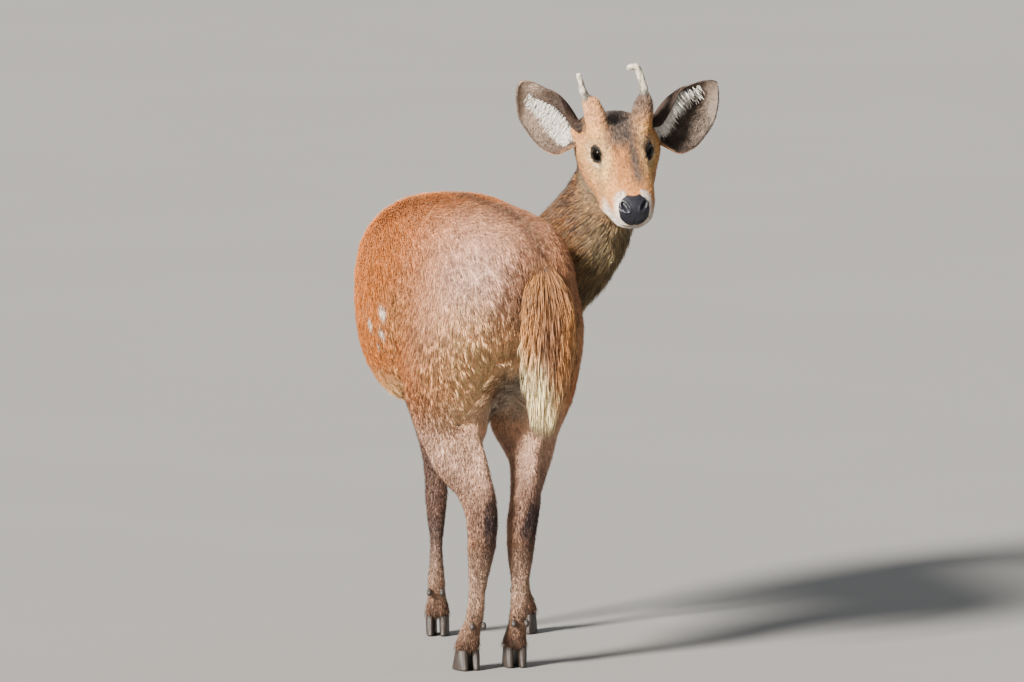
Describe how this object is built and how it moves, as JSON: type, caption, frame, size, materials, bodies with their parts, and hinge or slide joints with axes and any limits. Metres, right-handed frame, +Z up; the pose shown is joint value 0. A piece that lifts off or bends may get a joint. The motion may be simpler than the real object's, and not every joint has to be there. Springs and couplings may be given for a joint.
{
  "type": "hog deer",
  "caption": "Life-size still model of a young hog deer stag standing and looking back over its right shoulder, with short spike antlers, round ears and a long bushy tail.",
  "frame": {"origin": "on the floor, under the middle of the whole model's box", "axes": "+Z up; the pelvis faces roughly -Y; the animal's left side is +X"},
  "size_m": [0.5698, 0.8012, 0.8126],
  "materials": {
    "coat": "short orange-brown hair with a soft sheen and a dark stripe along the back",
    "face_hair": "very short tan hair, white round the mouth and inside the ears",
    "leg_hair": "short brown hair with darker patches round the hocks",
    "tail_hair": "long brown hair with a cream tip",
    "hoof_horn": "dark worn horn",
    "antler": "weathered ivory bone with grey streaks",
    "nose_skin": "moist black skin",
    "eye": "wet and near black"
  },
  "bodies": {
    "root": {"hind_left_thigh": "coat", "hind_left_shank": "leg_hair", "hind_left_cannon": "leg_hair", "hind_left_foot": "leg_hair", "hind_left_hoof_left": "hoof_horn", "hind_left_hoof_right": "hoof_horn", "hind_left_dewclaw_left": "hoof_horn", "hind_left_dewclaw_right": "hoof_horn", "hind_right_thigh": "coat", "hind_right_shank": "leg_hair", "hind_right_cannon": "leg_hair", "hind_right_foot": "leg_hair", "hind_right_hoof_left": "hoof_horn", "hind_right_hoof_right": "hoof_horn", "hind_right_dewclaw_left": "hoof_horn", "hind_right_dewclaw_right": "hoof_horn", "fore_left_shoulder": "coat", "fore_left_forearm": "leg_hair", "fore_left_cannon": "leg_hair", "fore_left_foot": "leg_hair", "fore_left_hoof_left": "hoof_horn", "fore_left_hoof_right": "hoof_horn", "fore_left_dewclaw_left": "hoof_horn", "fore_left_dewclaw_right": "hoof_horn", "fore_right_shoulder": "coat", "fore_right_forearm": "leg_hair", "fore_right_cannon": "leg_hair", "fore_right_foot": "leg_hair", "fore_right_hoof_left": "hoof_horn", "fore_right_hoof_right": "hoof_horn", "fore_right_dewclaw_left": "hoof_horn", "fore_right_dewclaw_right": "hoof_horn", "rump": "coat", "chest": "coat", "neck": "coat", "tail": "tail_hair", "head": "face_hair", "nose_pad": "nose_skin", "eye_left": "eye", "eye_right": "eye", "ear_left": "face_hair", "ear_right": "face_hair", "antler_left": "antler", "antler_right": "antler"}
  },
  "joints": []
}
